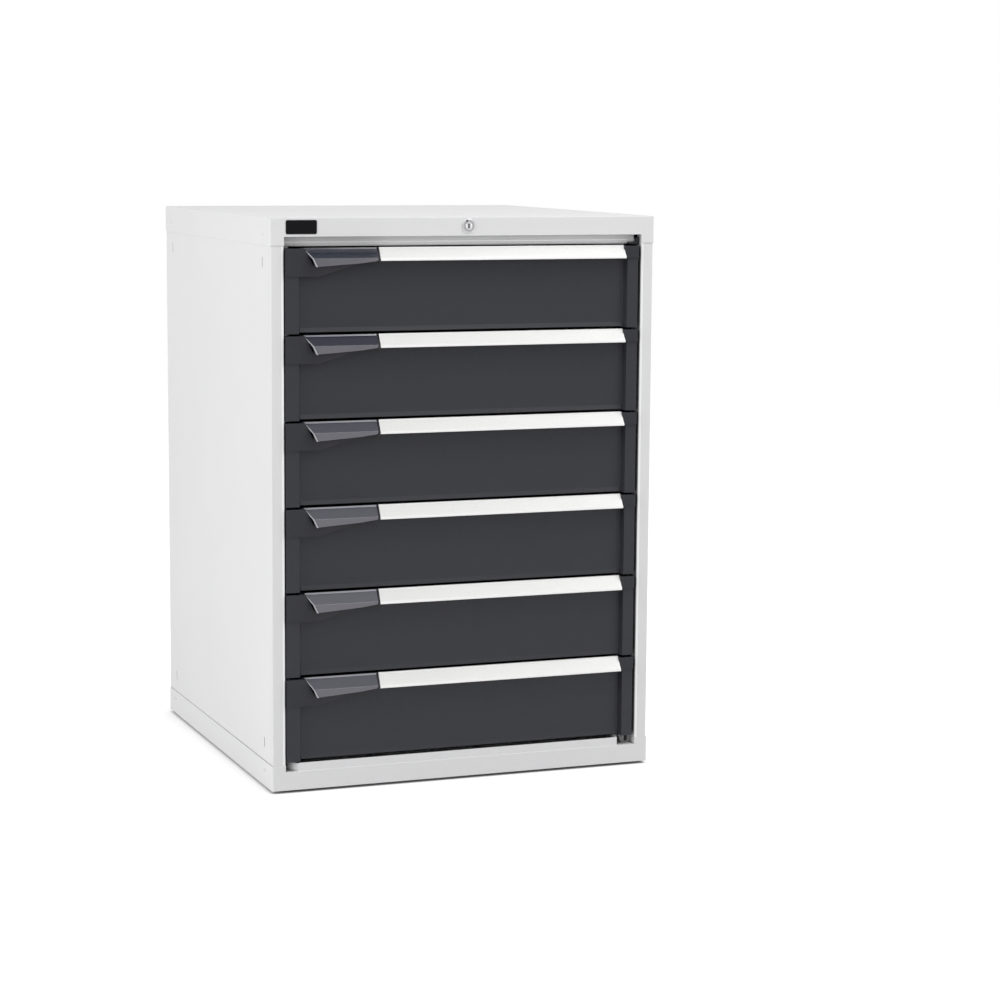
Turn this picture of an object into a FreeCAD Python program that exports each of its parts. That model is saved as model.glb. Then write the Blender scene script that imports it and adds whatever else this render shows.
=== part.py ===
import FreeCAD, Part
import os
import Sketcher

# A steel drawer cabinet of six equal drawers, as used beside a workbench.
# X runs along the front, the drawers open towards -Y, and Z is up.
# The origin is at floor level, under the centre of the whole object.
# The front plane is the outer face of the cover's fascia. A reach stands out of
# it and a depth goes into the cabinet from it.

DRAWERS = 6

# The driving lengths in millimetres, piece by piece.
LENGTHS = [
    # the case as a whole
    ("cabinet_width", 717.0),
    ("cabinet_depth", 725.0),
    ("body_height", 1000.0),
    ("case_sheet", 1.5),
    ("wall_sheet", 1.2),
    ("corner_radius", 3.0),
    ("bend_radius", 2.0),
    ("post_width", 25.0),
    ("post_return", 20.0),
    ("post_lip", 8.0),
    ("rear_flange", 20.0),
    # the cover and the base
    ("cover_height", 48.0),
    ("fascia_height", 33.0),
    ("fascia_return", 12.0),
    ("base_height", 45.0),
    ("sill_height", 33.0),
    ("sill_ledge", 25.0),
    ("upstand_height", 14.5),
    ("upstand_setback", 3.0),
    ("upstand_start", 22.0),
    ("upstand_stop", 34.0),
    ("flange_margin", 1.0),
    ("hook_slot_width", 3.0),
    ("hook_slot_height", 18.0),
    ("hook_slot_inset", 52.0),
    ("hook_slot_rise", 78.0),
    # the glides and the screws
    ("glide_height", 5.0),
    ("glide_radius", 19.0),
    ("glide_inset", 42.0),
    ("screw_radius", 3.6),
    ("screw_crown", 1.0),
    ("screw_inset", 46.0),
    ("screw_margin", 29.0),
    # the rail under the fascia
    ("crossrail_depth", 15.0),
    ("crossrail_height", 20.0),
    ("crossrail_gap", 1.3),
    ("crossrail_drop", 14.8),
    ("crossrail_notch", 8.5),
    ("crossrail_cheek", 6.5),
    # the columns that carry the runners
    ("column_gap", 5.3),
    ("column_width", 40.0),
    ("rear_space", 85.0),
    ("column_slot_width", 16.0),
    ("column_slot_height", 5.0),
    ("column_slot_pitch", 75.0),
    ("column_slot_start", 27.5),
    # the drawer fronts
    ("drawer_gap", 3.5),
    ("drawer_start", 50.5),
    ("head_room", 53.0),
    ("side_gap", 6.0),
    ("left_gap", 1.3),
    ("strip_width", 20.5),
    ("strip_slant", 4.0),
    ("panel_recess", 12.0),
    ("front_return", 20.0),
    ("panel_lift", 2.0),
    ("bevel_height", 8.0),
    ("bevel_reach", 2.5),
    ("top_flange", 10.0),
    # the trays
    ("tray_rise", 8.0),
    ("tray_headroom", 18.5),
    ("tray_setback", 12.8),
    ("tray_rim", 8.0),
    # the telescopic slides
    ("slide_space", 26.5),
    ("runner_height", 34.0),
    ("runner_rise", 45.0),
    ("runner_sheet", 1.5),
    ("carriage_sheet", 2.0),
    ("carriage_flange", 3.0),
    ("carriage_setback", 12.0),
    ("carriage_play", 0.3),
    ("slide_gap", 1.0),
    # the handles
    ("lip_reach", 20.0),
    ("lip_height", 3.0),
    ("lip_drop", 22.5),
    ("handle_crown", 1.0),
    ("handle_wall", 3.0),
    ("handle_web", 4.0),
    ("handle_flat", 3.0),
    ("handle_foot", 20.0),
    ("right_cap_width", 24.9),
    ("handle_slant", 6.5),
    ("label_ridge", 2.5),
    ("label_groove", 1.2),
    ("label_sheet", 0.8),
    ("label_play", 0.2),
    # the plastic ends of the front and the catch lever
    ("cap_thickness", 3.0),
    ("cap_height", 48.0),
    ("right_cap_height", 22.0),
    ("cap_play", 0.4),
    ("cheek_width", 3.0),
    ("skirt_wall", 2.5),
    ("skirt_reach", 13.5),
    ("skirt_lift", 22.0),
    ("skirt_straight", 8.0),
    ("skirt_run", 78.0),
    ("lever_play", 0.6),
    ("lever_wall", 3.0),
    ("lever_web", 5.0),
    ("lever_tuck", 2.0),
    ("lever_drop", 32.0),
    ("lever_inset", 30.5),
    ("lever_length", 133.5),
    ("lever_slant", 16.0),
    ("lever_brow", 3.0),
    ("lever_brow_reach", 0.9),
    ("lever_rise", 5.5),
    ("lever_run", 80.0),
    ("pivot_depth", 6.5),
    ("pivot_drop", 4.2),
    ("pivot_radius", 2.4),
    ("pivot_length", 1.2),
    ("pin_play", 0.05),
    ("nose_width", 8.0),
    ("nose_margin", 3.5),
    ("nose_height", 2.0),
    ("hook_length", 3.0),
    ("hook_height", 4.1),
    ("strike_play", 0.5),
    ("strike_sheet", 2.0),
    ("strike_reach", 18.0),
    ("strike_height", 3.5),
    ("strike_plate", 24.0),
    ("strike_inset", 0.5),
    ("strike_foot", 11.5),
    # the lock
    ("lock_side", 2.0),
    ("lock_drop", 16.0),
    ("lock_face_radius", 12.2),
    ("lock_face", 2.0),
    ("lock_barrel_radius", 8.8),
    ("lock_nut_radius", 12.5),
    ("lock_nut", 4.0),
    ("key_bow", 0.4),
    ("plug_radius", 6.5),
    ("key_slot_width", 2.0),
    ("key_slot_height", 8.5),
    ("key_slot_depth", 9.0),
    ("cam_sheet", 2.5),
    ("cam_gap", 2.2),
    ("cam_reach", 12.0),
    ("cam_pin_radius", 2.0),
    ("cam_width", 9.0),
    ("lock_play", 0.6),
    ("link_sheet", 2.5),
    ("link_wall", 3.0),
    ("link_end", 44.0),
    ("link_travel", 17.0),
    ("bar_sheet", 2.7),
    ("bar_width", 12.0),
    ("bar_standoff", 4.5),
    ("bar_inset", 2.5),
    ("bar_travel", 12.0),
    ("bar_foot", 20.0),
    ("bar_head", 14.0),
    ("bar_head_height", 18.0),
    ("bar_pin_drop", 11.0),
    ("bar_pin_radius", 2.0),
    ("bar_play", 0.3),
    ("tab_height", 8.0),
    ("tab_lift", 4.0),
    ("stop_overlap", 4.0),
    ("stop_play", 3.0),
    ("stop_gap", 0.1),
    ("stop_drop", 28.0),
    ("stop_height", 12.0),
    ("stop_sheet", 3.0),
    ("stop_reach", 15.0),
    ("guide_drop", 48.0),
    ("guide_height", 14.0),
    ("guide_sheet", 2.0),
    ("guide_cheek", 2.0),
    ("foot_width", 24.0),
    ("foot_height", 15.0),
    ("foot_depth", 6.5),
    ("foot_slant", 5.5),
    ("foot_hole_width", 6.0),
    ("foot_hole_height", 10.0),
    ("foot_hole_inset", 6.0),
    ("head_width", 21.0),
    ("head_height", 11.5),
    ("head_depth", 6.0),
    ("head_drop", 2.6),
    ("head_bar", 4.0),
    ("head_step", 7.0),
    # the badge
    ("badge_width", 55.5),
    ("badge_height", 24.0),
    ("badge_sheet", 1.0),
    ("badge_margin", 28.0),
    ("badge_drop", 4.5),
    ("badge_radius", 3.0),
]


class Size:
    """A length with its present value and the formula that the document keeps."""

    def __init__(self, value, formula):
        self.value = value
        self.formula = formula

    def __add__(self, other):
        other = as_size(other)
        return Size(self.value + other.value, "(%s + %s)" % (self.formula, other.formula))

    def __sub__(self, other):
        other = as_size(other)
        return Size(self.value - other.value, "(%s - %s)" % (self.formula, other.formula))

    def __mul__(self, other):
        other = as_size(other)
        return Size(self.value * other.value, "(%s * %s)" % (self.formula, other.formula))

    def __truediv__(self, other):
        other = as_size(other)
        return Size(self.value / other.value, "(%s / %s)" % (self.formula, other.formula))

    def __neg__(self):
        return Size(-self.value, "(0 - %s)" % self.formula)


def as_size(number):
    if isinstance(number, Size):
        return number
    return Size(float(number), repr(float(number)))


ZERO = as_size(0)

doc = FreeCAD.newDocument("DrawerCabinet")
sheet = doc.addObject("Spreadsheet::Sheet", "Sizes")
S = {}
for row, (alias, length) in enumerate(LENGTHS, start=1):
    sheet.set("A%d" % row, alias)
    sheet.set("B%d" % row, str(length))
    sheet.setAlias("B%d" % row, alias)
    S[alias] = Size(length, "Sizes." + alias)
doc.recompute()

PLANES = {"x": "YZ_Plane", "y": "XZ_Plane", "z": "XY_Plane"}
ALONG_Y = FreeCAD.Vector(0, 1, 0)
ALONG_Z = FreeCAD.Vector(0, 0, 1)
NEAR_SHARE = 0.001
PICK_SHARE = 0.1
DIAGONAL_SHARE = 0.70710678
HALF_ROOT_THREE_SHARE = 0.8660254
HEXAGON_SHARES = [
    (1, 0), (0.5, HALF_ROOT_THREE_SHARE), (-0.5, HALF_ROOT_THREE_SHARE),
    (-1, 0), (-0.5, -HALF_ROOT_THREE_SHARE), (0.5, -HALF_ROOT_THREE_SHARE),
]
pieces = []
pockets = []


def new_body(label):
    body = doc.addObject("PartDesign::Body", label)
    body.Label = label
    pieces.append(body)
    return body


def set_place(body, x=ZERO, y=ZERO, z=ZERO):
    """Move a body as a whole, with its place tied to the sheet."""
    for axis, size in (("x", x), ("y", y), ("z", z)):
        body.setExpression("Placement.Base." + axis, size.formula)


def origin_feature(body, role):
    for feature in body.Origin.OriginFeatures:
        if feature.Role == role:
            return feature
    raise ValueError("no origin feature " + role)


def new_sketch(body, axis, at):
    """A sketch square to the axis, at the place along it."""
    sketch = body.newObject("Sketcher::SketchObject", body.Label + "_sketch")
    sketch.AttachmentSupport = [(origin_feature(body, PLANES[axis]), "")]
    sketch.MapMode = "FlatFace"
    offset = -at if axis == "y" else at
    sketch.setExpression("AttachmentOffset.Base.z", offset.formula)
    return sketch


def tie(sketch, kind, element, point, size):
    """Hold one coordinate of a point at a size, or on the axis where it is zero."""
    if size.value == 0 and size.formula == ZERO.formula:
        line = -2 if kind == "DistanceX" else -1
        sketch.addConstraint(Sketcher.Constraint("PointOnObject", element, point, line))
        return
    number = sketch.addConstraint(Sketcher.Constraint(kind, -1, 1, element, point, size.value))
    sketch.setExpression("Constraints[%d]" % number, size.formula)


def draw_outline(sketch, corners):
    """A closed outline of straight edges through the corners."""
    points = [FreeCAD.Vector(a.value, b.value, 0) for a, b in corners]
    count = len(points)
    first = sketch.GeometryCount
    for i in range(count):
        sketch.addGeometry(Part.LineSegment(points[i], points[(i + 1) % count]), False)
    for i in range(count):
        following = first + (i + 1) % count
        sketch.addConstraint(Sketcher.Constraint("Coincident", first + i, 2, following, 1))
    for i, (a, b) in enumerate(corners):
        tie(sketch, "DistanceX", first + i, 1, a)
        tie(sketch, "DistanceY", first + i, 1, b)


def draw_circle(sketch, a, b, radius):
    centre = FreeCAD.Vector(a.value, b.value, 0)
    number = sketch.addGeometry(Part.Circle(centre, FreeCAD.Vector(0, 0, 1), radius.value), False)
    tie(sketch, "DistanceX", number, 3, a)
    tie(sketch, "DistanceY", number, 3, b)
    held = sketch.addConstraint(Sketcher.Constraint("Radius", number, radius.value))
    sketch.setExpression("Constraints[%d]" % held, radius.formula)


def rectangle(a0, a1, b0, b1):
    return [(a0, b0), (a1, b0), (a1, b1), (a0, b1)]


def add_along(body, axis, start, end, outlines=(), circles=()):
    """Pad outlines and circles along the axis, from start to end."""
    at = end if axis == "y" else start
    return extrude(body, "PartDesign::Pad", axis, at, end - start, outlines, circles)


def cut_along(body, axis, start, end, outlines=(), circles=()):
    """Pocket outlines and circles along the axis, from start to end."""
    at = start if axis == "y" else end
    feature = extrude(body, "PartDesign::Pocket", axis, at, end - start, outlines, circles)
    pockets.append((body, feature))
    return feature


def extrude(body, kind, axis, at, length, outlines, circles):
    sketch = new_sketch(body, axis, at)
    for corners in outlines:
        draw_outline(sketch, corners)
    for a, b, radius in circles:
        draw_circle(sketch, a, b, radius)
    feature = body.newObject(kind, body.Label + "_" + kind.split("::")[1].lower())
    feature.Profile = sketch
    feature.setExpression("Length", length.formula)
    return feature


def repeat_along(body, features, role, length, count):
    pattern = body.newObject("PartDesign::LinearPattern", body.Label + "_row")
    pattern.Originals = features
    pattern.Direction = (origin_feature(body, role), [""])
    pattern.setExpression("Length", length.formula)
    pattern.Occurrences = count
    body.Tip = pattern
    return pattern


def round_edges(body, radius, chosen):
    """Fillet the edges of the body's last feature that the test picks."""
    doc.recompute()
    base = body.Tip
    names = []
    for i, edge in enumerate(base.Shape.Edges, start=1):
        if chosen(edge):
            names.append("Edge%d" % i)
    if not names:
        raise ValueError("no edge to round on " + body.Label)
    fillet = body.newObject("PartDesign::Fillet", body.Label + "_fillet")
    fillet.Base = (base, names)
    fillet.setExpression("Radius", radius.formula)
    return fillet


def runs_along(edge, direction):
    tangent = edge.tangentAt(edge.FirstParameter)
    return edge.Curve.TypeId == "Part::GeomLine" and abs(abs(tangent.dot(direction)) - 1) < NEAR_SHARE


def near(value, size):
    """True where a coordinate is the size, within a share of the sheet's thickness."""
    return abs(value - size.value) < S["case_sheet"].value * PICK_SHARE


# Places that several pieces share, from the outside in.
half_width = S["cabinet_width"] / 2
front = (S["lip_reach"] - S["cabinet_depth"]) / 2
back = front + S["cabinet_depth"]
floor_edge = S["glide_height"]
top = floor_edge + S["body_height"]
cover_seam = top - S["cover_height"]
fascia_edge = top - S["fascia_height"]
base_seam = floor_edge + S["base_height"]
sill = floor_edge + S["sill_height"]
under_top = top - S["case_sheet"]
half_opening = half_width - S["post_width"]
wall_outside = half_width - S["case_sheet"]
wall_inside = wall_outside - S["wall_sheet"]
post_front = front + S["case_sheet"]
post_back = post_front + S["post_return"]
back_sheet_in = back - S["case_sheet"] - S["wall_sheet"]
first_drawer = floor_edge + S["drawer_start"]
drawer_pitch = (top - S["head_room"] - first_drawer + S["drawer_gap"]) / DRAWERS
drawer_rows = drawer_pitch * (DRAWERS - 1)
front_height = drawer_pitch - S["drawer_gap"]
front_top = first_drawer + front_height
lock_height = top - S["lock_drop"]

# The layers behind the front plane: the lock's cam, the bar, the link and the columns.
bar_front = post_back + S["bar_standoff"]
bar_back = bar_front + S["bar_sheet"]
link_front = bar_back + S["bar_play"]
link_back = link_front + S["link_sheet"]
cam_back = link_front - S["cam_gap"]
cam_front = cam_back - S["cam_sheet"]
barrel_end = cam_front - S["bar_play"]
guide_back = bar_back + S["guide_cheek"]
column_front = guide_back + S["column_gap"]
column_end = back - S["rear_space"]
bar_left = half_opening + S["bar_inset"]
bar_right = bar_left + S["bar_width"]
foot_left = half_opening - S["foot_width"]


def make_cover():
    """The cover and its fascia, with the return that stiffens the fascia's lower edge."""
    body = new_body("top_cover")
    outside = rectangle(-half_width, half_width, front, back)
    inside = rectangle(-wall_outside, wall_outside, post_front, back - S["case_sheet"])
    add_along(body, "z", cover_seam, top, [outside])
    cut_along(body, "z", cover_seam, under_top, [inside])
    opening = rectangle(-half_opening, half_opening, cover_seam, fascia_edge)
    cut_along(body, "y", front, post_front, [opening])
    round_edges(body, S["corner_radius"], lambda edge: runs_along(edge, ALONG_Z)
                and near(abs(edge.CenterOfMass.x), half_width))
    round_edges(body, S["bend_radius"], lambda edge: near(edge.CenterOfMass.z, top))
    flange = rectangle(-half_opening, half_opening, fascia_edge, fascia_edge + S["case_sheet"])
    add_along(body, "y", post_front, post_front + S["fascia_return"], [flange])
    hole = S["lock_barrel_radius"] + S["pin_play"]
    cut_along(body, "y", front, post_front, [], [(S["lock_side"], lock_height, hole)])
    return body


def make_base():
    """The base: a tray open below, with an upstand in the opening that steps back at both ends."""
    body = new_body("base_frame")
    outside = rectangle(-half_width, half_width, front, back)
    inside = rectangle(-wall_outside, wall_outside, post_front, back - S["case_sheet"])
    flange = S["glide_inset"] + S["glide_radius"] + S["flange_margin"]
    clear = half_width - flange
    mouth = rectangle(-clear, clear, front + flange, back - flange)
    floor_under = sill - S["case_sheet"]
    add_along(body, "z", floor_edge, base_seam, [outside])
    cut_along(body, "z", sill, base_seam, [inside])
    cut_along(body, "z", floor_edge + S["case_sheet"], floor_under, [inside])
    cut_along(body, "z", floor_edge, floor_edge + S["case_sheet"], [mouth])
    opening = rectangle(-half_opening, half_opening, sill, base_seam)
    cut_along(body, "y", front, post_front, [opening])
    round_edges(body, S["corner_radius"], lambda edge: runs_along(edge, ALONG_Z)
                and near(abs(edge.CenterOfMass.x), half_width))
    wall = S["case_sheet"]
    face = front + S["upstand_setback"]
    rear = front + S["sill_ledge"]
    left = S["upstand_start"] - half_opening
    right = half_opening - S["upstand_stop"]
    upstand = [
        (-half_opening, rear), (left, rear), (left, face), (right, face), (right, rear), (foot_left, rear),
        (foot_left, rear + wall), (right - wall, rear + wall), (right - wall, face + wall),
        (left + wall, face + wall), (left + wall, rear + wall), (-half_opening, rear + wall),
    ]
    add_along(body, "z", sill, sill + S["upstand_height"], [upstand])
    return body


def make_side(label, side):
    """A side wall with its front post and rear flange folded from one sheet."""
    body = new_body(label)
    sheet_thickness = S["wall_sheet"]
    lip = half_opening + S["post_lip"]
    fold = wall_outside - S["rear_flange"]
    corners = [
        (wall_outside, post_front),
        (half_opening, post_front),
        (half_opening, post_back),
        (lip, post_back),
        (lip, post_back - sheet_thickness),
        (half_opening + sheet_thickness, post_back - sheet_thickness),
        (half_opening + sheet_thickness, post_front + sheet_thickness),
        (wall_inside, post_front + sheet_thickness),
        (wall_inside, back_sheet_in - sheet_thickness),
        (fold, back_sheet_in - sheet_thickness),
        (fold, back_sheet_in),
        (wall_outside, back_sheet_in),
    ]
    corners = [(x * side, y) for x, y in corners]
    add_along(body, "z", sill, under_top, [corners])
    slots = []
    for y in (front + S["hook_slot_inset"], back - S["hook_slot_inset"]):
        for z in (floor_edge + S["hook_slot_rise"], top - S["hook_slot_rise"]):
            half = S["hook_slot_height"] / 2
            slots.append(rectangle(y, y + S["hook_slot_width"], z - half, z + half))
    edges = (wall_inside, wall_outside) if side > 0 else (-wall_outside, -wall_inside)
    cut_along(body, "x", edges[0], edges[1], slots)
    round_edges(body, S["bend_radius"], lambda edge: runs_along(edge, ALONG_Z)
                and near(edge.CenterOfMass.y, post_front)
                and edge.Length > S["base_height"].value * 2)
    return body


def make_back():
    body = new_body("back_panel")
    plate = rectangle(-wall_outside, wall_outside, sill, under_top)
    add_along(body, "y", back_sheet_in, back_sheet_in + S["wall_sheet"], [plate])
    return body


def make_crossrail():
    """The recessed rail between the posts, closing the gap over the top drawer."""
    body = new_body("front_crossrail")
    face = front + S["crossrail_depth"]
    low = fascia_edge - S["crossrail_drop"]
    high = low + S["crossrail_height"]
    deep = cam_front - S["crossrail_gap"]
    wall = S["wall_sheet"]
    corners = [
        (face, low), (deep, low), (deep, low + wall), (face + wall, low + wall),
        (face + wall, high - wall), (deep, high - wall), (deep, high), (face, high),
    ]
    add_along(body, "x", -half_opening, half_opening, [corners])
    notch = rectangle(half_opening - S["crossrail_notch"], half_opening, low + S["crossrail_cheek"], high)
    cut_along(body, "y", face, deep, [notch])
    return body


def make_columns():
    """Four slotted uprights: a front and a rear one on each side wall."""
    body = new_body("runner_columns")
    wall = S["case_sheet"]
    web = half_opening
    span = under_top - sill - S["column_slot_start"] * 2
    count = int(span.value // S["column_slot_pitch"].value) + 1
    for start in (column_front, column_end - S["column_width"]):
        end = start + S["column_width"]
        corners = [
            (web, start), (wall_inside, start), (wall_inside, start + wall), (web + wall, start + wall),
            (web + wall, end - wall), (wall_inside, end - wall), (wall_inside, end), (web, end),
        ]
        add_along(body, "z", sill, under_top, [corners, across(corners)])
        middle = (start + end) / 2
        half = S["column_slot_width"] / 2
        low = sill + S["column_slot_start"]
        slot = rectangle(middle - half, middle + half, low, low + S["column_slot_height"])
        first = cut_along(body, "x", -(web + wall), web + wall, [slot])
        repeat_along(body, [first], "Z_Axis", S["column_slot_pitch"] * (count - 1), count)


def across(corners):
    """The same outline on the other side of the middle plane."""
    return [(-x, y) for x, y in corners]


def channel(web, inner, tip, middle):
    """A channel section from its web's back to its flanges' tips."""
    wall = S["runner_sheet"]
    high = middle + S["runner_height"] / 2
    low = middle - S["runner_height"] / 2
    return [
        (web, low), (tip, low), (tip, low + wall), (inner, low + wall),
        (inner, high - wall), (tip, high - wall), (tip, high), (web, high),
    ]


# The slide between the tray's wall and the column, from the middle outwards.
half_tray = half_opening - S["slide_space"]
slide_middle = (half_tray + half_opening) / 2
plate_in = slide_middle - S["carriage_sheet"] / 2
plate_out = slide_middle + S["carriage_sheet"] / 2
rail_middle = first_drawer + S["runner_rise"]
rail_web = half_tray + S["runner_sheet"]
runner_web = half_opening - S["runner_sheet"]


def make_runners():
    """The fixed outer channels of the slides, open towards the drawers."""
    body = new_body("outer_runners")
    profile = channel(half_opening, runner_web, plate_out + S["slide_gap"], rail_middle)
    first = add_along(body, "y", column_front, column_end, [profile, across(profile)])
    repeat_along(body, [first], "Z_Axis", drawer_rows, DRAWERS)


# Places on the drawer fronts, all given for the lowest drawer.
strip_edge = half_opening - S["side_gap"]
left_edge = half_opening - S["left_gap"]
step_top = strip_edge - S["strip_width"]
step_foot = step_top - S["strip_slant"]
panel = front + S["panel_recess"]
panel_back = panel + S["wall_sheet"]
crown = front_top + S["handle_crown"]
crown_edge = panel - S["handle_flat"]
lip = front - S["lip_reach"]
lip_bottom = crown - S["lip_drop"]
lip_top = lip_bottom + S["lip_height"]
pivot_y = front + S["pivot_depth"]
pivot_z = crown - S["pivot_drop"]
tray_top = front_top - S["tray_headroom"]
stop_low = tray_top - S["stop_drop"]
stop_high = stop_low + S["stop_height"]
tab_low = stop_high + S["tab_lift"]

# The front's pieces from the left strip to the right one.
lever_left = -(strip_edge - S["lever_inset"])
lever_corner = lever_left + S["lever_slant"]
lever_right = lever_left + S["lever_length"]
cheek_left = lever_right + S["lever_play"]
cheek_right = cheek_left + S["cheek_width"]
handle_left = cheek_right + S["cap_play"]
handle_right = strip_edge - S["right_cap_width"]
tooth_start = column_front + S["strike_inset"]
tooth_end = tooth_start + S["strike_sheet"]


def slope(y):
    """The height of the handle's sloping face at a place along Y."""
    return crown - (crown_edge - y) * (crown - lip_top) / (crown_edge - lip)


def end_shift(y):
    """How far the handle's slanted ends have moved sideways at a place along Y."""
    return S["handle_slant"] * (panel - y) / (panel - lip)


def raise_to(body, number):
    """Lift a piece from the lowest drawer to its own. Drawer 1 is the top one."""
    set_place(body, z=drawer_pitch * (DRAWERS - number))


def half_front(edge):
    """The plan of the front's right half, out to the edge of its strip."""
    wall = S["wall_sheet"]
    rear = front + S["front_return"]
    return [
        (step_foot, panel), (step_top, front), (edge, front), (edge, rear),
        (edge - wall, rear), (edge - wall, front + wall), (step_top + wall, front + wall),
        (step_foot + wall, panel_back),
    ]


def make_front_panel(number):
    """The pressed front: two proud side strips, the left one wider, and a recessed middle."""
    body = new_body("drawer_%d_front_panel" % number)
    wall = S["wall_sheet"]
    outline = half_front(strip_edge) + across(reversed(half_front(left_edge)))
    add_along(body, "z", first_drawer, front_top, [outline])
    lifted = first_drawer + S["panel_lift"]
    cut_along(body, "y", panel, panel_back, [rectangle(-step_foot, step_foot, first_drawer, lifted)])
    notch = rectangle(-(step_top + wall), -step_foot, front + wall, panel_back)
    cut_along(body, "z", front_top - S["top_flange"], front_top, [notch])
    bevel = [
        (panel, lifted + S["bevel_height"]), (panel - S["bevel_reach"], lifted),
        (panel_back, lifted), (panel_back, lifted + S["bevel_height"]),
    ]
    add_along(body, "x", -step_foot, step_foot, [bevel])
    flange = rectangle(panel, panel + S["top_flange"], front_top - wall, front_top)
    add_along(body, "x", -step_foot, step_foot, [flange])
    raise_to(body, number)


def make_tray(number):
    """The sheet steel tray with its rim and inner rails, and its locking stop riveted on."""
    body = new_body("drawer_%d_tray" % number)
    wall = S["wall_sheet"]
    start = panel_back
    end = column_end - S["tray_setback"]
    low = first_drawer + S["tray_rise"]
    high = tray_top
    rim = S["tray_rim"]
    add_along(body, "z", low, high, [rectangle(-half_tray, half_tray, start, end)])
    inner = half_tray - wall
    cut_along(body, "z", low + wall, high - wall, [rectangle(-inner, inner, start + wall, end - wall)])
    mouth = half_tray - rim
    cut_along(body, "z", high - wall, high, [rectangle(-mouth, mouth, start + rim, end - rim)])
    rail = channel(half_tray, rail_web, plate_in - S["slide_gap"], rail_middle)
    add_along(body, "y", start + rim, end, [rail, across(rail)])
    stop_y = bar_back + S["stop_play"]
    seat = half_tray + S["stop_gap"]
    stop = rectangle(seat, half_tray + S["stop_reach"], stop_y, stop_y + S["stop_sheet"])
    add_along(body, "z", stop_low, stop_high, [stop])
    raise_to(body, number)


def make_carriages(number):
    """The middle members of both slides: double-T rails whose flanges run in both channels."""
    body = new_body("drawer_%d_carriages" % number)
    start = column_front + S["carriage_sheet"]
    flange = S["carriage_flange"]
    reach = S["runner_height"] / 2 - S["runner_sheet"] - S["carriage_play"]
    low = rail_middle - reach
    high = rail_middle + reach
    inside = rail_web + S["slide_gap"]
    outside = runner_web - S["slide_gap"]
    profile = [
        (inside, low), (outside, low), (outside, low + flange), (plate_out, low + flange),
        (plate_out, high - flange), (outside, high - flange), (outside, high), (inside, high),
        (inside, high - flange), (plate_in, high - flange), (plate_in, low + flange), (inside, low + flange),
    ]
    add_along(body, "y", start, column_end - S["carriage_setback"], [profile, across(profile)])
    raise_to(body, number)


def make_handle(number):
    """The full-width grip: a sloping label face, a lip to pull and a foot on the panel."""
    body = new_body("drawer_%d_handle_rail" % number)
    start = handle_left - S["handle_slant"]
    end = handle_right
    groove_back = crown_edge - S["label_ridge"]
    groove_front = lip + S["label_ridge"]
    wall = S["handle_wall"]
    corners = [
        (panel, crown), (crown_edge, crown),
        (groove_back, slope(groove_back)), (groove_back, slope(groove_back) - S["label_groove"]),
        (groove_front, slope(groove_front) - S["label_groove"]), (groove_front, slope(groove_front)),
        (lip, lip_top), (lip, lip_bottom), (lip + wall, lip_bottom),
        (lip + wall, slope(lip + wall) - S["handle_web"]),
        (panel - wall, slope(panel - wall) - S["handle_web"]),
        (panel - wall, crown - S["handle_foot"]), (panel, crown - S["handle_foot"]),
    ]
    add_along(body, "x", start, end, [corners])
    slant_ends(body, lip_bottom - S["lip_height"], crown, start, end)
    raise_to(body, number)


def slant_ends(body, low, high, start, end):
    """Trim both ends of a grip to the slant, seen from above."""
    slant = S["handle_slant"]
    left = [(start, panel), (start + slant, panel), (start, lip)]
    right = [(end, panel), (end - slant, lip), (end, lip)]
    cut_along(body, "z", low, high, [left, right])


def make_label(number):
    """The blank label strip in the handle's groove."""
    body = new_body("drawer_%d_label_strip" % number)
    start = handle_left - S["handle_slant"]
    end = handle_right
    y0 = lip + S["label_ridge"] + S["label_play"]
    y1 = crown_edge - S["label_ridge"] - S["label_play"]
    low = S["label_groove"]
    high = S["label_groove"] - S["label_sheet"]
    corners = [(y0, slope(y0) - low), (y1, slope(y1) - low), (y1, slope(y1) - high), (y0, slope(y0) - high)]
    add_along(body, "x", start, end, [corners])
    slant_ends(body, lip_top - S["handle_web"], crown, start, end)
    raise_to(body, number)


# Places around the catch lever, on the left half of the front.
lever_low = crown - S["lever_drop"]
cap_low = front_top - S["cap_height"]
cap_face = front - S["cap_thickness"]
block_foot = lever_corner - S["lever_play"]
block_top = lever_left - S["lever_play"]


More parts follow.
